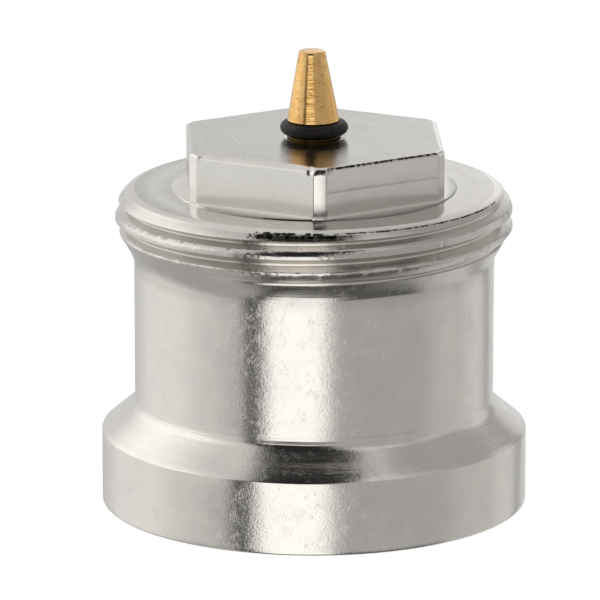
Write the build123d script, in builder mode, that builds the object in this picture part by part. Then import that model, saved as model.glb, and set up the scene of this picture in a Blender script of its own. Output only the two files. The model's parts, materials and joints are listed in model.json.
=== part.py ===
from build123d import *
from math import sqrt
import os

# Valve adapter, millimetres. The axis is Z, and Z = 0 is the rim that sits on the valve.
# The body is turned from one bar: a flange with the valve's thread inside, a plain neck,
# the thread for the actuator's ring nut, and a hexagon milled on the boss above it.
# A brass push pin runs in the body's bore. An O-ring in its groove keeps it in from above,
# and its head keeps it in from below.

# Flange and neck
flange_radius = 16.0
flange_height = 5.52
flange_edge_break = 0.25
rim_edge_break = 0.15
neck_radius = 13.5
slope_height = 2.1

# Male thread for the actuator's ring nut, M30 x 1.5
nut_thread_radius = 14.9
shoulder_height = 24.04
shoulder_round = 2.25
shoulder_drop = 2.04
seat_bevel_width = 0.3
seat_bevel_drop = 0.24
runout_drop = 5.18
runout_length = 2.46
runout_break = 0.2

# Hexagon, milled on a round boss that leaves a narrow strip at each corner
hexagon_across_flats = 18.9
hexagon_height = 3.84
corner_trim = 0.26
flats_step = 0.1
hexagon_edge_break = 0.3

# Female thread for the valve, M28 x 1.5, at its minor radius
valve_thread_radius = 14.0
valve_thread_depth = 0.812
socket_depth = 6.0
mouth_chamfer = 0.6

# Room above the socket for the valve's gland and stem
chamber_radius = 11.5
crown_thickness = 4.0

# Push pin
pin_clearance = 0.05
pin_radius = 1.95
pin_lift = 4.5
head_radius = 4.0
head_thickness = 2.5
head_edge_break = 0.3
stop_gap = 0.05
cone_length = 5.26
tip_radius = 1.0
tip_edge_break = 0.1
bore_edge_break = 0.15

# O-ring and its groove
ring_section_radius = 0.5
ring_outer_radius = 2.55
ring_drop = 0.2
ring_clearance = 0.05

# Heights and radii that follow from the sizes above
socket_radius = valve_thread_radius - valve_thread_depth
mouth_radius = socket_radius + mouth_chamfer
neck_foot = flange_height + slope_height
runout_start = shoulder_height - runout_drop
shoulder_centre = nut_thread_radius - shoulder_round
bevel_radius = shoulder_centre + sqrt(shoulder_round**2 - (shoulder_drop - seat_bevel_drop) ** 2)
crown_underside = shoulder_height - crown_thickness
hexagon_top = shoulder_height + hexagon_height
boss_radius = hexagon_across_flats / sqrt(3) - corner_trim
bore_radius = pin_radius + pin_clearance
head_top = crown_underside - pin_lift - stop_gap
ring_path_radius = ring_outer_radius - ring_section_radius
ring_height = hexagon_top + stop_gap + ring_drop + ring_section_radius
groove_radius = ring_path_radius - ring_section_radius - ring_clearance
groove_bottom = ring_height - ring_section_radius - ring_clearance
groove_top = ring_height + ring_section_radius + ring_clearance
tip_height = groove_top + cone_length

# Body
with BuildPart() as adapter_body:
    with BuildSketch(Plane.XZ) as body_section:
        with BuildLine():
            outside = Polyline(
                (mouth_radius, 0),
                (flange_radius - rim_edge_break, 0),
                (flange_radius, rim_edge_break),
                (flange_radius, flange_height),
                (neck_radius, neck_foot),
                (neck_radius, runout_start),
                (nut_thread_radius, runout_start + runout_length),
                (nut_thread_radius, shoulder_height - shoulder_drop),
            )
            shoulder = RadiusArc(
                outside @ 1,
                (bevel_radius, shoulder_height - seat_bevel_drop),
                -shoulder_round,
            )
            Polyline(
                shoulder @ 1,
                (bevel_radius - seat_bevel_width, shoulder_height),
                (boss_radius, shoulder_height),
                (boss_radius, hexagon_top),
                (bore_radius, hexagon_top),
                (bore_radius, crown_underside),
                (chamber_radius, crown_underside),
                (chamber_radius, socket_depth),
                (socket_radius, socket_depth),
                (socket_radius, mouth_chamfer),
                (mouth_radius, 0),
            )
        make_face()
        for corner, edge_break in (
            ((flange_radius, flange_height), flange_edge_break),
            ((nut_thread_radius, runout_start + runout_length), runout_break),
        ):
            chamfer(body_section.vertices().sort_by_distance(corner)[0], edge_break)
    revolve(axis=Axis.Z)
    with BuildSketch(Plane.XY.offset(shoulder_height + flats_step)):
        Circle(boss_radius + flats_step)
        RegularPolygon(hexagon_across_flats / 2, 6, major_radius=False, rotation=30, mode=Mode.SUBTRACT)
    extrude(amount=hexagon_height, mode=Mode.SUBTRACT)
    top_face = adapter_body.faces().sort_by(Axis.Z)[-1]
    chamfer(top_face.outer_wire().edges(), hexagon_edge_break)
    top_face = adapter_body.faces().sort_by(Axis.Z)[-1]
    chamfer(top_face.inner_wires()[0].edges(), bore_edge_break)
adapter_body.part.label = "adapter_body"

# Push pin, one turned piece from head to tip
with BuildPart() as push_pin:
    with BuildSketch(Plane.XZ):
        with BuildLine():
            Polyline(
                (0, head_top - head_thickness),
                (head_radius - head_edge_break, head_top - head_thickness),
                (head_radius, head_top - head_thickness + head_edge_break),
                (head_radius, head_top - head_edge_break),
                (head_radius - head_edge_break, head_top),
                (pin_radius, head_top),
                (pin_radius, groove_bottom),
                (groove_radius, groove_bottom),
                (groove_radius, groove_top),
                (pin_radius, groove_top),
                (tip_radius, tip_height),
                (0, tip_height),
                close=True,
            )
        make_face()
    revolve(axis=Axis.Z)
    tip_rim = push_pin.faces().sort_by(Axis.Z)[-1].edges()
    chamfer(tip_rim, tip_edge_break)
push_pin.part.label = "push_pin"

# O-ring in the pin's groove
with BuildPart() as o_ring:
    with BuildSketch(Plane.XZ):
        with Locations((ring_path_radius, ring_height)):
            Circle(ring_section_radius)
    revolve(axis=Axis.Z)
o_ring.part.label = "o_ring"

os.makedirs("parts", exist_ok=True)
for piece in (adapter_body, push_pin, o_ring):
    export_step(piece.part, f"parts/{piece.part.label}.step")
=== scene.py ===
import json
import math
from typing import NamedTuple

import bpy
import numpy as np
from mathutils import Matrix, Vector


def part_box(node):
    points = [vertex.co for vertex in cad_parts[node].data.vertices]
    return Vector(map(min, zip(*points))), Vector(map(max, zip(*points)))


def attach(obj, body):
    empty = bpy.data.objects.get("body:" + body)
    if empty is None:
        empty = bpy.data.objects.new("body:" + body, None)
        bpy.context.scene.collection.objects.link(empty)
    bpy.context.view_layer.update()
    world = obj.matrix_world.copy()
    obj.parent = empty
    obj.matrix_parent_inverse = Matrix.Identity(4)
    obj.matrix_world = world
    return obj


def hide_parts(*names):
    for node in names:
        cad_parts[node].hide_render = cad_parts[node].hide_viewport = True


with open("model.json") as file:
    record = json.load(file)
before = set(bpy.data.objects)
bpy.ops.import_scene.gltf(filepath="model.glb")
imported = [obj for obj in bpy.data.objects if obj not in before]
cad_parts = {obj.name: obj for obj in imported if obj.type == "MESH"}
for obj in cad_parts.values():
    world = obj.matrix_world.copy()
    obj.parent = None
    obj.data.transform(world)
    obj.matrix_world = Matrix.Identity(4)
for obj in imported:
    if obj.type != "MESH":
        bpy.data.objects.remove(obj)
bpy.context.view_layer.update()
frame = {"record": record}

MM = 0.001
FULL_TURN = 2 * math.pi
SEED = 7

# Sizes that the frame knows
mounts = {mount["name"]: mount for mount in frame["record"]["mounts"]}
body_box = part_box("adapter_body")
pin_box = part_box("push_pin")
ring_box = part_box("o_ring")
flange_radius = body_box[1].x / MM
hexagon_top = body_box[1].z / MM
shoulder_height = mounts["actuator_seat"]["pos_m"][2] / MM
nut_thread_radius = mounts["actuator_thread"]["dims"]["r_mm"]
socket_radius = mounts["valve_thread"]["dims"]["r_mm"]
tip_height = pin_box[1].z / MM
foot_height = pin_box[0].z / MM
head_radius = pin_box[1].x / MM
ring_height = (ring_box[0].z + ring_box[1].z) / 2 / MM
ring_section = (ring_box[1].z - ring_box[0].z) / 2 / MM
ring_path = ring_box[1].x / MM - ring_section

# Flange, slope and neck, with the rows that lie between their edges
flange_height = 5.52
flange_edge = 0.2
flange_rows = (0.35, 1.5, 3.2, 4.7)
rim_edge = 0.15
rim_margin = 0.2
slope_shares = (0.12, 0.25, 0.4, 0.55)
neck_radius = 13.5
neck_foot_height = 7.62
neck_foot_round = 1.2
neck_rows = (8.8, 10.5, 13.0, 15.5)
neck_top_height = 18.86
neck_top_round = 1.2

# Male thread
pitch = 1.5
runout_height = 21.32
runout_round = 1.2
nut_thread_floor = 14.08
nut_thread_front = 21.563
nut_thread_root = 0.13
nut_thread_turns = np.arange(-2, 2)
nut_thread_bottom = 17.6
nut_thread_top = 23.76

# Shoulder and the seat for the actuator
shoulder_round = 2.15
shoulder_drop = 1.94
shoulder_start = shoulder_height - shoulder_drop
seat_bevel_drop = 0.18
seat_bevel_width = 0.5
seat_dish = 0.035
bevel_angle = math.asin((shoulder_height - seat_bevel_drop - shoulder_start) / shoulder_round)
bevel_outside = nut_thread_radius - shoulder_round * (1 - math.cos(bevel_angle))
bevel_inside = bevel_outside - seat_bevel_width

# Hexagon, the step under its flats, the painted dark reflection at the foot of its front strip, and
# its right flat's scratch
across_flats = 18.9
corner_trim = 0.26
boss_radius = across_flats / math.sqrt(3) - corner_trim
step_height = 0.055
step_ragged = 0.012
flats_step = 0.1
flats_foot_round = 0.09
hexagon_edge = 0.29
top_face_middle = 3.2
strip_foot_height = 24.4
strip_foot_painted_reflection = 0.35
scratch_height = 26.02
scratch_half = 0.05
scratch_depth = 0.012

# Inside: bore, crown, chamber and socket
bore_radius = 2.0
bore_edge = 0.12
crown_thickness = 4.0
crown_underside = shoulder_height - crown_thickness
chamber_radius = 11.5
chamber_corner = 0.6
socket_depth = 6.0
mouth_chamfer = 0.6
edge_margin = 0.15
valve_thread_depth = 0.812
valve_thread_front = 0.5
valve_thread_root = 0.12
valve_thread_fade = (4.5, 5.35)
valve_thread_turns = np.arange(0, 4)
valve_thread_bottom = 0.02
valve_thread_top = socket_depth - 0.1

# Push pin: it leans by its play in the bore, and its cone is bent a little to the left
shaft_radius = 1.95
tip_radius = 1.0
tip_edge = 0.1
cone_rows = 46
head_thickness = 2.5
head_edge = 0.3
ring_clearance = 0.05
# The shaft under the O-ring is darkened as painted shade, for the ring's shadow and its dark
# reflection.
under_ring_painted_shade = 0.08
pin_play = 0.045
pin_bend = 0.018

# Columns round the axis: the body's outside is drawn twice as fine as its inside
OUTER_COLUMNS = 672
INNER_COLUMNS = OUTER_COLUMNS // 2
STRIP_COLUMNS = 5
PIN_COLUMNS = 192
RING_ROWS = 40
SHARP_ANGLE = math.radians(38)


class Finish(NamedTuple):
    """How strong the turning marks, the grain with its scratches, the dirt with painted shade, and
    the painted light (a tone that lightens or darkens the colour) are.
    """

    marks: float
    wear: float
    dirt: float = 0.0
    tone: float = 1.0


# The tones are painted light: the faces, the top face, the flats and the thread are darker or
# lighter copies of one plate, painted to match how bright their reflections are.
WALL = Finish(0.25, 1.0)
SLOPE = Finish(2.2, 0.7)
FACE = Finish(0.45, 0.6, tone=0.76)
TOP = Finish(1.3, 0.35, tone=0.65)
FLAT = Finish(0.0, 0.32, tone=1.05)
EDGE = Finish(0.1, 0.6)
THREAD = Finish(0.5, 0.8, tone=0.86)
PIN = Finish(1.0, 0.7)

# Stretches round the axis, in degrees from -Y towards +X: start, end, and the fade outside them
THREAD_FRONT = (-20, 12, 8)
THREAD_CREST = (-25, 60, 12)
THREAD_TOP = (-19, 6, 12)
SHOULDER_FRONT = (-17, 4, 12)
SHOULDER_RIGHT = (6, 68, 12)
STEP_LEFT = (-50, -8, 8)
STEP_RIGHT = (4, 100, 10)
LEFT_FLAT = (-57, -3, 1)
RIGHT_FLAT = (3, 57, 1)
LEFT_EDGE = (-56, -4, 3)
RIGHT_EDGE = (5, 56, 2)
FRONT_STRIP = (-4, 4, 1.5)

# Rows up the flats: height, how much paler the flats are painted (painted light, lighter upwards),
# and whether the scratch runs there
FLAT_ROWS = (
    (24.45, 1.0, 0),
    (24.75, 1.0, 0),
    (25.4, 1.04, 0),
    (scratch_height - scratch_half, 1.07, 0),
    (scratch_height, 1.07, 1),
    (scratch_height + scratch_half, 1.07, 0),
    (26.6, 1.1, 0),
    (27.1, 1.14, 0),
)

# Dents and lips left by knocks: angle from -Y in degrees, height, half width, half height, push
NICKS = (
    (35.6, 22.45, 0.30, 0.22, 0.06),
    (37.4, 22.40, 0.12, 0.30, -0.12),
    (54.4, 21.15, 0.40, 0.20, 0.07),
    (57.4, 21.10, 0.14, 0.30, -0.08),
    (72.0, 22.60, 0.16, 0.35, -0.12),
    (5.6, 22.75, 0.10, 0.35, -0.03),
    (54.0, 5.15, 0.45, 0.12, -0.06),
    (57.5, 5.20, 0.20, 0.20, -0.05),
)

# Rows of one turn of a thread, from the groove's lower edge up to just under the next groove
(
    LOWER_EDGE,
    UNDER_EDGE,
    LOWER_FLANK,
    LOWER_ROOT,
    UPPER_ROOT,
    UPPER_FLANK,
    UPPER_EDGE,
    CREST,
    CREST_LIP,
    CREST_EDGE,
) = range(10)
ROWS_PER_TURN = CREST_EDGE + 1
BURRS = {LOWER_EDGE: 1.0, UPPER_EDGE: 1.0, CREST: 0.7, CREST_LIP: 1.0, CREST_EDGE: 1.0}


def smooth_noise(position, count, seed, wrap=None):
    """Random values between -1 and 1, joined smoothly along position, one for each unit."""
    table = np.random.RandomState(SEED + seed).uniform(-1, 1, count + 1)
    if wrap:
        table[wrap] = table[0]
        position = np.mod(position, wrap)
    cell = np.clip(np.floor(position).astype(int), 0, count - 1)
    part = position - cell
    part = part * part * (3 - 2 * part)
    return table[cell] * (1 - part) + table[cell + 1] * part


def angle_noise(angle, per_radian, count, seed, shift=0):
    """Smooth noise along an angle, which is in radians and lies between -4 and 4."""
    return smooth_noise((angle + 4) * per_radian + shift, count, seed)


def column_noise(columns, seed):
    """Smooth noise on a row of the outside, with one random value for every few columns."""
    position = np.arange(OUTER_COLUMNS) / columns
    return smooth_noise(position, 4000, seed, wrap=round(OUTER_COLUMNS / columns))


def window(angle, start, end, fade):
    """1 between two angles in degrees, falling to 0 over a few degrees outside them."""
    angle = np.degrees(angle)
    inside = np.minimum(angle - start, end - angle)
    return np.clip(1 + inside / fade, 0, 1)


def column_angles(count):
    """Angles from -Y towards +X, moved a little so that some lie on the hexagon's strip borders."""
    angle = np.degrees(np.linspace(-math.pi, math.pi, count + 1))
    step = 360 / count
    border = STRIP_COLUMNS * step * count / OUTER_COLUMNS
    from_corner = (angle + 30) % 60 - 30
    strip = 30 - math.degrees(math.acos(across_flats / 2 / boss_radius))
    size = np.abs(from_corner)
    inside = size * strip / border
    outside = strip + (size - border) * (30 - strip) / (30 - border)
    warped = np.where(size <= border, inside, outside) * np.sign(from_corner)
    return np.radians(angle - from_corner + warped)


class Skin:
    """One closed surface, built row by row round the Z axis, with its finish on each vertex."""

    def __init__(self, columns):
        self.angle = column_angles(columns)[:-1]
        self.points = []
        self.finish = {field: [] for field in Finish._fields}
        self.faces = []
        self.total = 0

    def add(self, angle, radius, height, finish):
        """Adds vertices and returns their numbers."""
        radius, height, angle, *values = np.broadcast_arrays(radius, height, angle, *finish)
        self.points.append(
            np.stack([radius * np.sin(angle), -radius * np.cos(angle), height], -1).reshape(-1, 3)
        )
        for layer, value in zip(self.finish.values(), values):
            layer.append(np.ravel(value))
        first = self.total
        self.total += radius.size
        return np.arange(first, self.total)

    def row(self, radius, height, finish, columns=None):
        """One closed row of vertices."""
        angle = self.angle if columns is None else column_angles(columns)[:-1]
        return self.add(angle, radius, height, finish)

    def rows(self, *stretches, columns=None):
        """Rows along an outline, given in stretches of (points, finish)."""
        return [
            self.row(reach, height, finish, columns)
            for points, finish in stretches
            for reach, height in points
        ]

    def join(self, rows):
        """Faces between rows that follow each other."""
        for low, high in zip(rows, rows[1:]):
            self.band(low, high)

    def band(self, low, high):
        """Faces between two rows with as many columns, or from one with twice as many."""
        if len(low) == 2 * len(high):
            self.halve(low, high, False)
        elif len(high) == 2 * len(low):
            self.halve(high, low, True)
        else:
            self.strip(np.append(low, low[0]), np.append(high, high[0]))

    def strip(self, low, high, flip=False):
        """Faces between two open rows."""
        self.keep(np.stack([low[:-1], low[1:], high[1:], high[:-1]], -1).tolist(), flip)

    def halve(self, fine, coarse, flip):
        """Five-sided faces from a fine row to one with half as many columns."""
        start, middle = fine[0::2], fine[1::2]
        end = np.roll(start, -1)
        self.keep(np.stack([start, middle, end, np.roll(coarse, -1), coarse], -1).tolist(), flip)

    def face(self, numbers, flip=False):
        """One face through any number of vertices."""
        self.keep([[int(number) for number in numbers]], flip)

    def keep(self, faces, flip):
        self.faces += [face[::-1] for face in faces] if flip else faces

    def object(self, name, material, change=None):
        """The finished mesh, in metres, smooth but for its real edges."""
        mesh = bpy.data.meshes.new(name)
        points = np.concatenate(self.points)
        if change:
            points = change(points)
        mesh.from_pydata((points * MM).tolist(), [], self.faces)
        mesh.polygons.foreach_set("use_smooth", [True] * len(mesh.polygons))
        mesh.set_sharp_from_angle(angle=SHARP_ANGLE)
        for field, values in self.finish.items():
            layer = mesh.attributes.new(field, "FLOAT", "POINT")
            layer.data.foreach_set("value", np.concatenate(values).astype(np.float32))
        mesh.materials.append(material)
        made = bpy.data.objects.new(name, mesh)
        bpy.context.scene.collection.objects.link(made)
        return made


def arc(centre, radius, first, last, count):
    """Points (reach, height) of an arc; angles in radians from the horizontal."""
    turn = np.linspace(first, last, count)
    return [(centre[0] + radius * math.cos(a), centre[1] + radius * math.sin(a)) for a in turn]


def rounded_corner(before, corner, after, radius, count):
    """Points of the arc that rounds the corner between two straight runs."""
    before, corner, after = (np.array(p, float) for p in (before, corner, after))
    one = (before - corner) / np.linalg.norm(before - corner)
    two = (after - corner) / np.linalg.norm(after - corner)
    half = math.acos(float(np.clip(one @ two, -1, 1))) / 2
    reach = radius / math.tan(half)
    middle = (one + two) / np.linalg.norm(one + two)
    centre = corner + middle * radius / math.sin(half)
    start = corner + one * reach - centre
    end = corner + two * reach - centre
    sweep = math.acos(float(np.clip(start @ end / radius**2, -1, 1)))
    points = []
    for share in np.linspace(0, 1, count):
        a = math.sin((1 - share) * sweep) / math.sin(sweep)
        b = math.sin(share * sweep) / math.sin(sweep)
        points.append(tuple(centre + a * start + b * end))
    return points


def shoulder_arc(first, last, count):
    """Points of the rounding over the male thread."""
    centre = (nut_thread_radius - shoulder_round, shoulder_start)
    return arc(centre, shoulder_round, first, last, count)


class Thread:
    """A helical groove cut into a turned blank, between two heights.

    blank gives the uncut radius at a height, and floor the groove's radius at a turn. side is 1 for
    a male thread and -1 for a female one. The groove passes -Y at the height front, at turn 0.
    rough gives the height of the burrs, and the last argument the painted shade and painted dark
    reflections on the rows.
    """

    flank = math.tan(math.radians(30))
    overcut = 0.02
    lip_width = 0.2
    burr_depth = 0.35
    burr_fade = 0.2

    def __init__(self, blank, floor, side, front, turns, limits, root_flat, rough, darkening):
        self.blank = blank
        self.floor = floor
        self.side = side
        self.front = front
        self.turns = turns
        self.limits = limits
        self.root = root_flat / 2
        self.rough = rough
        self.darkening = darkening

    def groove(self, turn, distance):
        """Radius of the groove's wall at a distance above or below its floor."""
        wall = np.maximum(np.abs(distance) - self.root, 0) / self.flank
        return self.floor(turn) + self.side * wall

    def mouth(self, turn, direction):
        """How far from the floor's middle the groove meets the blank, found by halving."""
        low = np.full(turn.shape, self.root)
        high = np.full(turn.shape, 0.45 * pitch)
        centre = self.front + pitch * turn
        for _ in range(30):
            middle = (low + high) / 2
            blank = self.blank(centre + direction * middle)
            cut = self.side * (blank - self.groove(turn, middle))
            low = np.where(cut > 0, middle, low)
            high = np.where(cut > 0, high, middle)
        return low + self.overcut

    def squeezed(self, height, margin=0.08):
        """Heights kept in order between the limits."""
        bottom, top = self.limits
        over = np.maximum(height - (top - margin), 0)
        under = np.maximum(bottom + margin - height, 0)
        height = np.clip(height, bottom + margin, top - margin)
        return height + over * margin / (over + margin) - under * margin / (under + margin)

    def offsets(self, turn):
        """How far each row of a turn lies from the middle of the groove's floor."""
        down = self.mouth(turn, -1)
        up = self.mouth(turn, 1)
        root = np.full(turn.shape, self.root)
        crest = pitch - up - np.vstack([down[1:], down[-1:]])
        lip = np.minimum(self.lip_width, crest * 0.45)
        return (
            -down,
            -(root + (down - root) * 0.84),
            -(down + root) / 2,
            -root,
            root,
            (up + root) / 2,
            up,
            up + crest * 0.3,
            up + crest - lip,
            up + crest - lip * 0.4,
        )

    def radius(self, turn, height, row):
        """Radius of a row, where the groove or the next one cuts the blank, with its burrs."""
        distance = height - (self.front + pitch * turn)
        wall = self.side * self.groove(turn, distance)
        following = self.side * self.groove(turn + 1, distance - pitch)
        blank = self.blank(height)
        radius = self.side * np.minimum(self.side * blank, np.minimum(wall, following))
        if row in BURRS:
            proud = self.side * (blank - self.floor(turn)) - self.burr_depth
            worn = np.clip(proud / self.burr_fade, 0, 1)
            here = turn if row <= UPPER_EDGE else turn + 0.5
            radius = radius + self.rough(here, row) * BURRS[row] * worn
            radius = radius + self.side * self.crest_shape(height, row) * worn
        return radius

    def crest_shape(self, height, row):
        """Rounds a crest's upper edge, and raises a lip there where the blank narrows downwards."""
        drop = {CREST_EDGE: -0.03, LOWER_EDGE: -0.08}.get(row, 0)
        lift = {CREST_LIP: 0.09, CREST_EDGE: 0.035}.get(row, 0)
        rise = np.clip((self.blank(height + 0.1) - self.blank(height - 0.1)) / 0.1, -1, 1)
        return drop * (1 - np.abs(rise)) + lift * np.maximum(rise, 0)

    def rows(self, angles):
        """Height, radius and painted shade of every row at every angle, from the lowest row up."""
        turn = self.turns[:, None] + angles[None, :] / FULL_TURN
        heights, radii, darkenings = [], [], []
        for row, offset in enumerate(self.offsets(turn)):
            height = self.squeezed(self.front + pitch * turn + offset)
            heights.append(height)
            radii.append(self.radius(turn, height, row))
            darkenings.append(self.darkening(angles[None, :] + 0 * turn, height, row))
        shape = (len(self.turns) * ROWS_PER_TURN, len(angles))
        return [np.stack(values, 1).reshape(shape) for values in (heights, radii, darkenings)]

    def build(self, skin, columns, lower, upper, finish, flip=False):
        """Adds the thread's faces between two plain rows."""
        angles = column_angles(columns)
        heights, radii, darkenings = self.rows(angles)
        numbers = np.zeros((len(heights), columns + 1), int)
        for row, (height, radius, darkening) in enumerate(zip(heights, radii, darkenings)):
            darkened = finish._replace(dirt=darkening[:-1])
            numbers[row, :-1] = skin.add(angles[:-1], radius[:-1], height[:-1], darkened)

        # A turn's last column is the next turn's first one, and the topmost turn has its own
        top = slice(-ROWS_PER_TURN, None)
        darkened = finish._replace(dirt=darkenings[top, -1])
        numbers[:-ROWS_PER_TURN, -1] = numbers[ROWS_PER_TURN:, 0]
        numbers[top, -1] = skin.add(angles[-1], radii[top, -1], heights[top, -1], darkened)
        for low, high in zip(numbers, numbers[1:]):
            skin.strip(low, high, flip)

        # The plain rows, with one face of many sides on each to close the step in the helix
        first, last = numbers[0], numbers[-1]
        skin.strip(lower, first[:-1], flip)
        skin.face([lower[-1], lower[0], *numbers[: ROWS_PER_TURN + 1, 0], first[-2]], flip)
        skin.strip(last[1:], np.append(upper[1:], upper[0]), flip)
        skin.face([last[0], last[1], upper[1], upper[0], *numbers[top, -1][::-1]], flip)


def male_blank():
    """The turned outside under the male thread, as radius at each height."""
    neck_foot = (neck_radius, 0)
    neck_top = (neck_radius, neck_top_height)
    runout_top = (nut_thread_radius, runout_height)
    wall_top = (nut_thread_radius, shoulder_height)
    outline = [
        neck_foot,
        *rounded_corner(neck_foot, neck_top, runout_top, neck_top_round, 7),
        *rounded_corner(neck_top, runout_top, wall_top, runout_round, 9),
        *shoulder_arc(0, bevel_angle, 40),
    ]
    reach, height = np.array(outline).T
    return lambda z: np.interp(z, height, reach)


def male_rough(turn, row):
    """Burrs along the crests: small lips and gaps, in millimetres."""
    along = (turn + 3) * 120
    fine = smooth_noise(along * 4.6 + row * 31.7, 4000, 11)
    broad = smooth_noise(along * 1.3 + row * 5.3, 4000, 12)
    deepest_gap, highest_lip = -0.035, 0.014
    return np.clip(0.019 * fine + 0.008 * broad - 0.005, deepest_gap, highest_lip)


def male_thread_shade(angle, height, row):
    """Painted shade in the thread along the groove's edges and crest lips, and painted dark
    reflections on the crests in front and over the top groove.
    """
    darkening = 0 * angle
    if row == UNDER_EDGE:
        darkening = 0.34 * window(angle, *THREAD_FRONT)
    elif row in (CREST_LIP, CREST_EDGE, LOWER_EDGE):
        darkening = 0.19 + 0.05 * angle_noise(angle, 40, 400, 33, shift=row * 9)
    elif row == CREST:
        darkening = 0.26 * window(angle, *THREAD_CREST)
    over_groove = np.clip((height - 23.38) / 0.08, 0, 1)
    patch = 0.36 + 0.2 * angle_noise(angle, 60, 600, 31)
    return np.maximum(darkening, over_groove * patch * window(angle, *THREAD_TOP))


def shoulder_shade(angle):
    """Painted dark reflections in front and a painted shade line on the right: over the male
    thread, on the shoulder's rounding, and in teeth along the bevel.
    """
    tooth = angle_noise(angle, 75, 700, 32)
    front = window(angle, *SHOULDER_FRONT)
    right = window(angle, *SHOULDER_RIGHT)
    foot = np.maximum((0.42 + 0.15 * tooth) * front, 0.2 * right)
    rounding = np.maximum((0.42 + 0.3 * tooth) * front, (0.46 + 0.15 * tooth) * right)
    teeth = np.clip(0.75 * tooth - 0.05, 0, 1) * np.maximum(front, 0.7 * right)
    return foot, rounding, teeth


def female_blank(z):
    """The socket's wall with its mouth's chamfer."""
    return socket_radius + np.clip(mouth_chamfer - z, 0, mouth_chamfer)


def female_floor(turn):
    """The groove's floor, which runs out before the socket's end."""
    height = valve_thread_front + pitch * turn
    start, end = valve_thread_fade
    left = np.clip((end - height) / (end - start), 0, 1)
    return socket_radius + valve_thread_depth * left * left * (3 - 2 * left)


def knocked(points):
    """The body's points with the dents and lips that knocks left on its outside."""
    reach = np.hypot(points[:, 0], points[:, 1])
    turn = np.arctan2(points[:, 0], -points[:, 1])
    outside = reach > neck_radius - 0.1
    push = np.zeros(len(points))
    for angle, height, half_width, half_height, depth in NICKS:
        across = (turn - math.radians(angle)) * reach / half_width
        along = (points[:, 2] - height) / half_height
        push += depth * np.exp(-(across**2) - along**2) * outside
    push = np.minimum(push, flange_radius - reach) / np.maximum(reach, 1)
    moved = points.copy()
    moved[:, :2] *= 1 + push[:, None]
    return moved


def foot_rows(skin):
    """Underside, flange, slope and neck, up to the male thread."""
    rim_inside = (socket_radius + flange_radius) / 2
    rim_corner = (flange_radius - rim_edge, rim_edge)
    flange_foot = (flange_radius, 0)
    flange_corner = (flange_radius, flange_height)
    neck_foot = (neck_radius, neck_foot_height)
    neck_top = (neck_radius, neck_top_height)
    slope = np.array(neck_foot) - np.array(flange_corner)
    return skin.rows(
        ([(rim_inside, 0), (flange_radius - rim_edge - rim_margin, 0)], FACE),
        (arc(rim_corner, rim_edge, -math.pi / 2, 0, 4), EDGE),
        ([(flange_radius, height) for height in flange_rows], WALL),
        (rounded_corner(flange_foot, flange_corner, neck_foot, flange_edge, 5), EDGE),
        ([tuple(flange_corner + slope * share) for share in slope_shares], SLOPE),
        (rounded_corner(flange_corner, neck_foot, neck_top, neck_foot_round, 8), SLOPE),
        ([(neck_radius, height) for height in (*neck_rows, nut_thread_bottom)], WALL),
    )


def add_male_thread(skin, lower, darkening):
    """Adds the male thread over a row, and returns the row that ends it, with painted shade on it.
    """
    blank = male_blank()
    ending = float(blank(nut_thread_top))
    upper = skin.row(ending, nut_thread_top, EDGE._replace(dirt=darkening))
    thread = Thread(
        blank,
        floor=lambda turn: np.full(np.shape(turn), nut_thread_floor),
        side=1,
        front=nut_thread_front,
        turns=nut_thread_turns,
        limits=(nut_thread_bottom, nut_thread_top),
        root_flat=nut_thread_root,
        rough=male_rough,
        darkening=male_thread_shade,
    )
    thread.build(skin, OUTER_COLUMNS, lower, upper, THREAD)
    return upper


def shoulder_rows(skin, rounding_shade, teeth_shade):
    """The shoulder's rounding, the seat's bevel and the seat, which is dished a little."""
    start = math.asin((nut_thread_top - shoulder_start) / shoulder_round)
    bevel_foot = (bevel_outside - 0.05, shoulder_height - 0.155)
    bevel = [
        (bevel_outside - 0.12, shoulder_height - 0.125),
        (bevel_inside + 0.04, shoulder_height - 0.02),
    ]
    seat = [
        (bevel_inside - 0.02, shoulder_height),
        ((bevel_inside + boss_radius) / 2, shoulder_height - seat_dish / 2),
        (boss_radius + 0.09, shoulder_height - seat_dish),
    ]
    # The rounding and the bevel's foot carry painted dark reflections in front and painted shade on
    # the right.
    return skin.rows(
        (shoulder_arc(start, bevel_angle, 3)[1:], EDGE._replace(dirt=rounding_shade)),
        ([bevel_foot], EDGE._replace(dirt=teeth_shade)),
        (bevel, EDGE),
        (seat, FACE),
    )


def step_rows(skin):
    """The round step under the flats, with its ragged edge and a painted shadow line along it."""
    dark = np.maximum(window(skin.angle, *STEP_RIGHT), window(skin.angle, *STEP_LEFT))
    ragged = column_noise(1.5, 21) * step_ragged
    foot = (boss_radius + 0.02, shoulder_height - seat_dish + 0.012)
    edge = (boss_radius - 0.01 + ragged, shoulder_height + step_height)
    # The dark line is painted shade in the step's corner: a darker tone with dark specks.
    return skin.rows(([foot, edge], EDGE._replace(dirt=0.2 * dark, tone=1 - 0.6 * dark)))


def hexagon_outline(angle):
    """Radius of the flats, and of the strips of the round boss that are left at the corners."""
    from_flat = (angle + math.pi / 3) % (math.pi / 3) - math.pi / 6
    return np.minimum(across_flats / 2 / np.cos(from_flat), boss_radius)


def top_edge(angle):
    """How far the rounding of the hexagon's top edge goes inwards and down at each angle."""
    left = window(angle, *LEFT_EDGE)
    right = window(angle, *RIGHT_EDGE)
    front = window(angle, *FRONT_STRIP)
    inset = hexagon_edge + 0.45 * left - 0.09 * right + 0.15 * front
    drop = hexagon_edge + 0.16 * left - 0.10 * right + 0.22 * front
    return inset, drop


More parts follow.
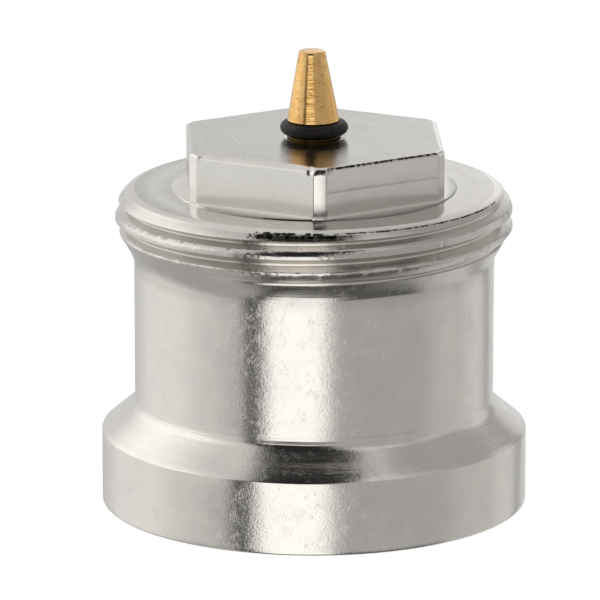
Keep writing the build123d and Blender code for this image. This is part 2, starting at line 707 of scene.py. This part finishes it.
def flat_rows(skin, outline, side_top):
    """The flats with their rounded foot, and the strips at the corners, up to the top edge."""
    flats_foot = shoulder_height + flats_step
    ledge = np.minimum(outline + flats_foot_round, boss_radius - 0.004)
    foot = [(np.maximum(ledge, outline), flats_foot)]
    for lift, reach in ((0.13, 0.5), (0.5, 0.13), (1, 0)):
        ledge = np.minimum(outline + flats_foot_round * reach, boss_radius)
        foot.append((np.maximum(ledge, outline), flats_foot + flats_foot_round * lift))
    rows = skin.rows((foot, FLAT))

    # Each strip has its own painted light, lighter on the left and darker on the right, and the
    # front one has a painted dark reflection towards its foot; the left flat is painted lighter
    angle = skin.angle
    left_flat = window(angle, *LEFT_FLAT)
    right_flat = window(angle, *RIGHT_FLAT)
    is_strip = outline >= boss_radius - 1e-6
    is_front = window(angle, *FRONT_STRIP) * is_strip > 0.5
    left_painted_light, front_painted_light, right_painted_light = 1.15, 0.93, 0.74
    strip = np.where(angle < -0.5, left_painted_light, np.where(angle > 0.5, right_painted_light, front_painted_light))
    for height, painted_paler, scratched in (*FLAT_ROWS, (side_top - 0.05, 1.16, 0)):
        foot_painted_reflection = np.minimum(1, strip_foot_painted_reflection + (height - strip_foot_height))
        shade = np.where(is_strip, strip, FLAT.tone * painted_paler * (1 + 0.13 * left_flat))
        shade = shade * (1 - 0.4 * scratched * right_flat) * np.where(is_front, foot_painted_reflection, 1)
        pushed = outline - scratch_depth * scratched * right_flat
        rows.append(skin.row(pushed, height, FLAT._replace(tone=shade)))
    return rows


def edge_rows(skin, outline, inset, drop):
    """The hexagon's rounded top edge, with burrs, with painted shade for a dark line under the
    burrs on the right, dark dirt specks towards the top face on the left, and a painted highlight
    low on the left edge.
    """
    burr = column_noise(1.2, 22)
    shade_noise = column_noise(1.6, 23)
    left_flat = window(skin.angle, *LEFT_FLAT)
    right_flat = window(skin.angle, *RIGHT_FLAT)
    rows = []
    for share, deep in ((0, 0.15), (0.33, 0.45), (0.67, 0.52), (1, 0.47)):
        turn = share * math.pi / 2
        push = burr * (0.014 + 0.012 * right_flat) * math.sin(turn) * (1 - share)
        reach = outline - inset * (1 - math.cos(turn)) + push
        height = hexagon_top - drop + drop * math.sin(turn)
        # Painted shade under the burrs on the right, and dark dirt specks towards the top face on
        # the left; the next line paints a highlight low on the left edge.
        darkening = (1 + 0.3 * shade_noise) * (deep * right_flat + 0.28 * share * left_flat)
        shade = EDGE.tone + 0.16 * left_flat * (1 - share)
        rows.append(skin.row(reach, height, EDGE._replace(dirt=darkening, tone=shade)))
    return rows


def hexagon_rows(skin):
    """The hexagon from its flats' foot to halfway in on its top face."""
    outline = hexagon_outline(skin.angle)
    inset, drop = top_edge(skin.angle)
    inside = outline - inset
    top = [
        (inside + (top_face_middle - inside) * share, hexagon_top) for share in (0.02, 0.3, 0.62)
    ]
    return [
        *flat_rows(skin, outline, hexagon_top - drop),
        *edge_rows(skin, outline, inset, drop),
        *skin.rows((top, TOP)),
    ]


def inside_rows(skin):
    """The top face's middle, the bore, the crown's underside, the chamber and the ledge."""
    bore_corner = (bore_radius + bore_edge, hexagon_top - bore_edge)
    chamber_centre = (chamber_radius - chamber_corner, crown_underside - chamber_corner)
    top = [
        (top_face_middle, hexagon_top),
        (bore_radius + bore_edge + edge_margin, hexagon_top),
    ]
    bore = [
        (bore_radius, 24.0),
        (bore_radius, crown_underside + edge_margin),
        (bore_radius + edge_margin, crown_underside),
        (7.0, crown_underside),
    ]
    chamber = [(chamber_radius, height) for height in (16.0, 11.0, socket_depth + edge_margin)]
    ledge = [(chamber_radius + edge_margin, socket_depth), (socket_radius - 0.1, socket_depth)]
    return skin.rows(
        (top, TOP),
        (arc(bore_corner, bore_edge, math.pi / 2, math.pi, 4), EDGE),
        (bore, SLOPE),
        (arc(chamber_centre, chamber_corner, math.pi / 2, 0, 6), SLOPE),
        (chamber, SLOPE),
        (ledge, SLOPE),
        ([(socket_radius, valve_thread_top)], THREAD),
        columns=INNER_COLUMNS,
    )


def add_female_thread(skin, upper):
    """Adds the socket's thread under a row, and returns the row at its mouth."""
    ending = float(female_blank(valve_thread_bottom))
    mouth = skin.row(ending, valve_thread_bottom, THREAD, INNER_COLUMNS)
    thread = Thread(
        female_blank,
        floor=female_floor,
        side=-1,
        front=valve_thread_front,
        turns=valve_thread_turns,
        limits=(valve_thread_bottom, valve_thread_top),
        root_flat=valve_thread_root,
        rough=lambda turn, row: 0,
        darkening=lambda angle, height, row: 0 * angle,
    )
    thread.build(skin, INNER_COLUMNS, mouth, upper, THREAD, flip=True)
    return mouth


def build_body(material):
    """The adapter's body as one closed surface."""
    skin = Skin(OUTER_COLUMNS)
    foot_shade, rounding_shade, teeth_shade = shoulder_shade(skin.angle)
    foot = foot_rows(skin)
    skin.join(foot)
    crown = [
        add_male_thread(skin, foot[-1], foot_shade),
        *shoulder_rows(skin, rounding_shade, teeth_shade),
        *step_rows(skin),
        *hexagon_rows(skin),
        *inside_rows(skin),
    ]
    skin.join(crown)
    mouth = add_female_thread(skin, crown[-1])
    rim = skin.row(socket_radius + mouth_chamfer + 0.12, 0, FACE, INNER_COLUMNS)
    skin.join([mouth, rim, foot[0]])
    return skin.object("adapter_skin", material, knocked)


def leaning(points):
    """The pin's points, off centre by its play in the bore, with the cone bent to the left."""
    play = np.clip((points[:, 2] - crown_underside) / (hexagon_top - crown_underside), 0, 1)
    above = np.maximum(points[:, 2] - hexagon_top, 0)
    moved = points.copy()
    moved[:, 0] -= pin_play * play + pin_bend * above
    return moved


def build_pin(material):
    """The push pin with its head, shaft, groove and cone, and the fine ridges its tool left."""
    skin = Skin(PIN_COLUMNS)
    middle = 0.02
    head_top = foot_height + head_thickness
    groove_radius = ring_path - ring_section - ring_clearance
    groove_top = ring_height + ring_section + ring_clearance
    groove_bottom = ring_height - ring_section - ring_clearance
    cone_foot = groove_top + 0.05
    cone_top = tip_height - tip_edge
    head = [
        (middle, foot_height),
        (head_radius - head_edge, foot_height),
        (head_radius, foot_height + head_edge),
        (head_radius, head_top - head_edge),
        (head_radius - head_edge, head_top),
        (shaft_radius + 0.02, head_top),
    ]
    shaft = [(shaft_radius, head_top + 0.02), (shaft_radius, groove_bottom - 0.5)]
    # Painted shade: the shaft just under the O-ring is darkened where the ring shades it and is
    # reflected in it.
    shaded_under_ring = [
        (shaft_radius, groove_bottom - 0.35),
        (shaft_radius, groove_bottom - 0.03),
        (shaft_radius - 0.03, groove_bottom),
        (groove_radius, groove_bottom),
    ]
    cone = [
        (groove_radius, groove_top),
        (shaft_radius - 0.04, groove_top),
        (shaft_radius, cone_foot),
    ]
    rng = np.random.RandomState(SEED)
    for share in np.linspace(0, 1, cone_rows)[1:-1]:
        reach = shaft_radius + (tip_radius - shaft_radius) * share
        ridge = rng.uniform(-0.004, 0.002)
        cone.append((reach + ridge, cone_foot + (cone_top - cone_foot) * share))
    tip = [
        (tip_radius + 0.02, cone_top),
        (tip_radius - 0.03, tip_height - 0.03),
        (tip_radius - 0.1, tip_height),
        (0.4, tip_height - 0.004),
        (middle, tip_height - 0.004),
    ]
    rows = skin.rows(
        (head + shaft, PIN), (shaded_under_ring, PIN._replace(tone=under_ring_painted_shade)), (cone + tip, PIN)
    )
    skin.join(rows)
    skin.face(rows[0], flip=True)
    skin.face(rows[-1])
    return skin.object("pin_skin", material, leaning)


def build_ring(material):
    """The O-ring, with the faint flash line of its mould inside and outside."""
    skin = Skin(PIN_COLUMNS)
    flash = 0.012
    outline = []
    for turn in np.linspace(0, FULL_TURN, RING_ROWS, endpoint=False):
        reach = ring_section - flash * (abs(math.sin(turn)) > 0.12)
        outline.append((ring_path + reach * math.cos(turn), ring_height + reach * math.sin(turn)))
    rows = skin.rows((outline, WALL))
    skin.join(rows + rows[:1])
    return skin.object("ring_skin", material)


class Nodes:
    """Short ways to write a node tree."""

    def __init__(self, tree):
        self.tree = tree
        tree.nodes.clear()

    def new(self, kind, inputs=None, **settings):
        node = self.tree.nodes.new(kind)
        for name, value in settings.items():
            setattr(node, name, value)
        for key, value in (inputs or {}).items():
            self.set(node.inputs[key], value)
        return node

    def set(self, socket, value):
        if isinstance(value, bpy.types.NodeSocket):
            self.tree.links.new(value, socket)
        else:
            socket.default_value = value

    def math(self, operation, *values):
        node = self.new("ShaderNodeMath", operation=operation)
        for socket, value in zip(node.inputs, values):
            self.set(socket, value)
        return node.outputs[0]

    def add(self, *terms):
        """The sum of (value, weight) terms."""
        total = None
        for value, weight in terms:
            product = self.math("MULTIPLY", value, weight)
            total = product if total is None else self.math("ADD", total, product)
        return total

    def vector(self, operation, *values):
        node = self.new("ShaderNodeVectorMath", operation=operation)
        for socket, value in zip(node.inputs, values):
            self.set(socket, value)
        plain = operation in ("DOT_PRODUCT", "LENGTH")
        return node.outputs["Value" if plain else "Vector"]

    def scaled(self, colour, by):
        """A colour made lighter or darker."""
        node = self.new("ShaderNodeVectorMath", {0: colour, "Scale": by}, operation="SCALE")
        return node.outputs["Vector"]

    def step(self, value, start, end):
        """0 before start, 1 after end, smooth between."""
        inputs = {"Value": value, "From Min": start, "From Max": end}
        node = self.new("ShaderNodeMapRange", inputs, interpolation_type="SMOOTHSTEP")
        return node.outputs["Result"]

    def blend(self, factor, low, high):
        """A number between two."""
        inputs = {"Factor": factor, "A": low, "B": high}
        return self.new("ShaderNodeMix", inputs, data_type="FLOAT").outputs["Result"]

    def mix(self, factor, low, high):
        """A colour between two."""
        inputs = {"Factor": factor, "A": low, "B": high}
        return self.new("ShaderNodeMix", inputs, data_type="RGBA").outputs["Result"]

    def noise(self, vector, scale, detail=2.0, roughness=0.5):
        inputs = {"Vector": vector, "Scale": scale, "Detail": detail, "Roughness": roughness}
        return self.new("ShaderNodeTexNoise", inputs, noise_dimensions="3D").outputs["Fac"]

    def attribute(self, name):
        """One of the values that a skin keeps on its vertices."""
        return self.new("ShaderNodeAttribute", attribute_name=name).outputs["Fac"]

    def bump(self, height):
        """A normal bent by heights in millimetres."""
        inputs = {"Height": height, "Strength": 1.0, "Distance": MM}
        return self.new("ShaderNodeBump", inputs).outputs["Normal"]

    def surface(self, inputs):
        """Ends the tree in a plain surface shader."""
        shader = self.new("ShaderNodeBsdfPrincipled", inputs)
        self.new("ShaderNodeOutputMaterial", {"Surface": shader.outputs["BSDF"]})


def new_material(name):
    """A material and its empty node tree."""
    material = bpy.data.materials.new(name)
    material.use_nodes = True
    return material, Nodes(material.node_tree)


def place_on(nodes):
    """The place on the object, in millimetres."""
    place = nodes.new("ShaderNodeTexCoord").outputs["Object"]
    return nodes.vector("MULTIPLY", place, (1 / MM, 1 / MM, 1 / MM))


def place_round(nodes, place):
    """A vector that changes slowly round the axis and fast across turning marks."""
    parts = nodes.new("ShaderNodeSeparateXYZ", {"Vector": place}).outputs
    flat = nodes.new("ShaderNodeCombineXYZ", {"X": parts["X"], "Y": parts["Y"], "Z": 0.0})
    across = nodes.math("ADD", nodes.vector("LENGTH", flat.outputs[0]), parts["Z"])
    across = nodes.new("ShaderNodeCombineXYZ", {"X": 0.0, "Y": 0.0, "Z": across})
    return nodes.vector("ADD", nodes.vector("NORMALIZE", flat.outputs[0]), across.outputs[0])


def scratches(nodes, place, turn, density, seed):
    """Thin streaks in one direction, with gaps, as a number from 0 to 1."""
    rotated = nodes.new(
        "ShaderNodeVectorRotate", {"Vector": place, "Rotation": turn}, rotation_type="EULER_XYZ"
    )
    stretched = nodes.vector("MULTIPLY", rotated.outputs[0], (0.35, 6.0, 6.0))
    stretched = nodes.vector("ADD", stretched, (seed, seed * 1.7, seed * 0.6))
    streak = nodes.noise(stretched, 1.0, 1.0)
    line = nodes.math("ABSOLUTE", nodes.math("SUBTRACT", streak, 0.5))
    line = nodes.math("SUBTRACT", 1.0, nodes.step(line, 0.0, 0.018))
    where = nodes.step(nodes.noise(place, density, 1.0), 0.55, 0.66)
    return nodes.math("MULTIPLY", line, where)


def nickel():
    """Nickel plate over turned brass: satin, finely pitted and scratched, with turning marks."""
    material, nodes = new_material("nickel_plate")
    place = place_on(nodes)
    marks, wear, dirt, tone = (nodes.attribute(field) for field in Finish._fields)

    # Relief in millimetres
    stretched = nodes.vector("MULTIPLY", place_round(nodes, place), (0.6, 0.6, 7.0))
    turning = nodes.noise(stretched, 1.0, 3.0)
    grain = nodes.noise(place, 5.5, 3.0, 0.65)
    ripple = nodes.noise(place, 1.3, 1.0)
    along = scratches(nodes, place, (0.4, 0.9, 0.2), 0.9, 3.0)
    across = scratches(nodes, place, (1.9, -0.6, 1.1), 1.2, 9.0)
    scored = nodes.math("ADD", along, across)
    worn = nodes.add((grain, 0.011), (ripple, 0.006), (scored, -0.003))
    height = nodes.add((nodes.math("MULTIPLY", turning, marks), 0.020), (worn, wear))

    # Colour: two greys in clouds, with dirt and painted shade in dark specks, scaled by painted
    # light
    clouds = nodes.step(nodes.noise(place, 0.5, 3.0), 0.35, 0.7)
    plate = nodes.mix(clouds, (0.80, 0.765, 0.71, 1), (0.76, 0.73, 0.685, 1))
    specks = nodes.noise(place, 7.0, 2.0, 0.7)
    specks = nodes.math("SUBTRACT", nodes.math("MULTIPLY", dirt, 1.6), specks)
    dirt_colour = (0.035, 0.03, 0.025, 1)
    colour = nodes.mix(nodes.step(specks, 0.0, 0.25), nodes.scaled(plate, tone), dirt_colour)
    satin = nodes.math("MULTIPLY", nodes.step(grain, 0.3, 0.75), wear)
    nodes.surface(
        {
            "Base Color": colour,
            "Metallic": 1.0,
            "Roughness": nodes.blend(satin, 0.13, 0.24),
            "Normal": nodes.bump(height),
        }
    )
    return material


def brass():
    """Plain turned brass with fine rings and slight stains."""
    material, nodes = new_material("brass")
    place = place_on(nodes)
    stretched = nodes.vector("MULTIPLY", place_round(nodes, place), (0.8, 0.8, 9.0))
    rings = nodes.noise(stretched, 1.0, 3.0)
    grain = nodes.noise(place, 6.0, 2.0)
    clouds = nodes.step(nodes.noise(place, 1.3, 3.0), 0.35, 0.7)
    metal = nodes.mix(clouds, (0.95, 0.60, 0.235, 1), (0.84, 0.49, 0.16, 1))
    spots = nodes.noise(nodes.vector("MULTIPLY", place, (2.2, 2.2, 4.5)), 1.0, 2.0)
    stain = nodes.math("MULTIPLY", nodes.step(spots, 0.6, 0.72), 0.6)
    stained = nodes.mix(stain, metal, (0.45, 0.20, 0.07, 1))
    # The colour is scaled by painted light, which darkens the shaft under the O-ring as painted
    # shade.
    nodes.surface(
        {
            "Base Color": nodes.scaled(stained, nodes.attribute("tone")),
            "Metallic": 1.0,
            "Roughness": nodes.blend(rings, 0.12, 0.26),
            "Normal": nodes.bump(nodes.add((rings, 0.019), (grain, 0.006))),
        }
    )
    return material


def rubber():
    """Black rubber, slightly greasy."""
    material, nodes = new_material("rubber")
    place = place_on(nodes)
    grain = nodes.noise(place, 5.0, 4.0)
    clouds = nodes.step(nodes.noise(place, 1.5, 2.0), 0.4, 0.65)
    nodes.surface(
        {
            "Base Color": nodes.mix(clouds, (0.010, 0.008, 0.007, 1), (0.022, 0.017, 0.014, 1)),
            "Roughness": nodes.blend(grain, 0.35, 0.6),
            "Specular IOR Level": 0.3,
            "Normal": nodes.bump(nodes.math("MULTIPLY", grain, 0.02)),
        }
    )
    return material


# Camera: from in front and a little above, through a long lens
camera_elevation = math.radians(14.565)
camera_azimuth = math.radians(-2.467)
camera_distance = 474 * MM
aim_height = 15 * MM
picture_scale = 13.293 / MM
sensor = 36.0
picture_pixels = 600
aim_right = 14.07 / picture_scale
aim_down = 3.46 / picture_scale


def direction_to(azimuth, elevation):
    """The direction at an azimuth from -Y towards +X, and an elevation, both in radians."""
    return Vector(
        (
            math.cos(elevation) * math.sin(azimuth),
            -math.cos(elevation) * math.cos(azimuth),
            math.sin(elevation),
        )
    )


def add_camera():
    """The camera at the photograph's place."""
    data = bpy.data.cameras.new("camera")
    data.sensor_width = sensor
    data.lens = sensor / picture_pixels * picture_scale * camera_distance
    data.clip_start = 0.01
    data.clip_end = 100
    camera = bpy.data.objects.new("camera", data)
    bpy.context.scene.collection.objects.link(camera)
    away = direction_to(camera_azimuth, camera_elevation)
    right = Vector((math.cos(camera_azimuth), math.sin(camera_azimuth), 0))
    up = away.cross(right)
    middle = Vector((0, 0, aim_height))
    place = middle + away * camera_distance
    target = middle - right * aim_right + up * aim_down
    turned = (place - target).to_track_quat("Z", "Y").to_matrix().to_4x4()
    camera.matrix_world = Matrix.Translation(place) @ turned
    bpy.context.scene.camera = camera


# Studio: each panel has a name, azimuth, elevation, half width, half height, edge softness and
# level. Its angles are in degrees from the camera's side, and it lies over the ones before it.
STUDIO_LEVEL = 0.70
PANELS = (
    ("left wall", -110, -5, 54, 60, 7, 0.72),
    ("left rear", -113, -10, 26, 24, 8, 0.88),
    ("rear left light", -110, 26, 33, 22, 14, 1.25),
    ("right wall", 45, -5, 44, 55, 8, 0.45),
    ("right middle", 102, -5, 20, 60, 12, 0.57),
    ("right rear", 138, -5, 20, 60, 8, 0.70),
    ("right line", 146, 0, 6, 50, 3, 0.40),
    ("right high", 128, 50, 24, 22, 7, 0.40),
    ("behind left", -174, 12, 9, 14, 4, 0.70),
    ("behind right", 173, 12, 8, 14, 4, 0.99),
    ("floor under", 0, -90, 26, 26, 9, 0.06),
    ("floor left", -110, -52, 60, 18, 10, 0.48),
    ("floor right", 40, -50, 32, 18, 7, 0.12),
    ("front dark", -12, 51, 20, 40, 4, 0.02),
    ("front card", -13, -21, 21, 31, 3, 1.32),
    ("dark gap", -38.6, -10, 6.5, 60, 3.5, 0.03),
)


def panel_mask(nodes, direction, azimuth, elevation, half_width, half_height, softness):
    """1 inside a panel, 0 outside it."""
    turn = math.radians(azimuth) + camera_azimuth
    ahead = direction_to(turn, math.radians(elevation))
    right = Vector((math.cos(turn), math.sin(turn), 0))
    up = right.cross(ahead)
    across, along, forward = (
        nodes.vector("DOT_PRODUCT", direction, tuple(axis)) for axis in (right, up, ahead)
    )
    masks = []
    for value, half in (
        (nodes.math("ARCTAN2", across, forward), half_width),
        (nodes.math("ARCSINE", along), half_height),
    ):
        size = nodes.math("MULTIPLY", nodes.math("ABSOLUTE", value), 180 / math.pi)
        outside = nodes.step(size, half - softness, half + softness)
        masks.append(nodes.math("SUBTRACT", 1.0, outside))
    return nodes.math("MULTIPLY", *masks)


def add_world():
    """White for the camera, and a studio of light and dark panels for everything else."""
    world = bpy.data.worlds.new("studio")
    bpy.context.scene.world = world
    world.use_nodes = True
    nodes = Nodes(world.node_tree)
    direction = nodes.new("ShaderNodeTexCoord").outputs["Generated"]
    level = STUDIO_LEVEL
    for _, *place, strength in PANELS:
        level = nodes.blend(panel_mask(nodes, direction, *place), level, strength)
    seen = nodes.new("ShaderNodeLightPath").outputs["Is Camera Ray"]
    level = nodes.blend(seen, level, 1.0)
    background = nodes.new("ShaderNodeBackground", {"Color": (1, 1, 1, 1), "Strength": level})
    nodes.new("ShaderNodeOutputWorld", {"Surface": background.outputs[0]})


def add_floor():
    """A plain white floor. Metal sees the studio in its place."""
    mesh = bpy.data.meshes.new("floor")
    half = 0.6
    corners = [(-half, -half, 0), (half, -half, 0), (half, half, 0), (-half, half, 0)]
    mesh.from_pydata(corners, [], [(0, 1, 2, 3)])
    material, nodes = new_material("floor")
    paint = nodes.new("ShaderNodeBsdfDiffuse", {"Color": (0.8, 0.8, 0.8, 1)})
    white = nodes.new("ShaderNodeEmission", {"Color": (1, 1, 1, 1), "Strength": 1.0})
    seen = nodes.new("ShaderNodeLightPath").outputs["Is Camera Ray"]
    mixed = nodes.new("ShaderNodeMixShader", {0: seen, 1: paint.outputs[0], 2: white.outputs[0]})
    nodes.new("ShaderNodeOutputMaterial", {"Surface": mixed.outputs[0]})
    mesh.materials.append(material)
    floor = bpy.data.objects.new("floor", mesh)
    bpy.context.scene.collection.objects.link(floor)
    floor.visible_glossy = False


for build, material, node, slot, rides_on in (
    (build_body, nickel(), "adapter_body", "nickel_plate", "body"),
    (build_pin, brass(), "push_pin", "brass", "pin"),
    (build_ring, rubber(), "o_ring", "rubber", "pin"),
):
    piece = build(material)
    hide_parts(node)
    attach(piece, rides_on)

add_camera()
add_world()
add_floor()

view_settings = bpy.context.scene.view_settings
view_settings.view_transform = "Standard"
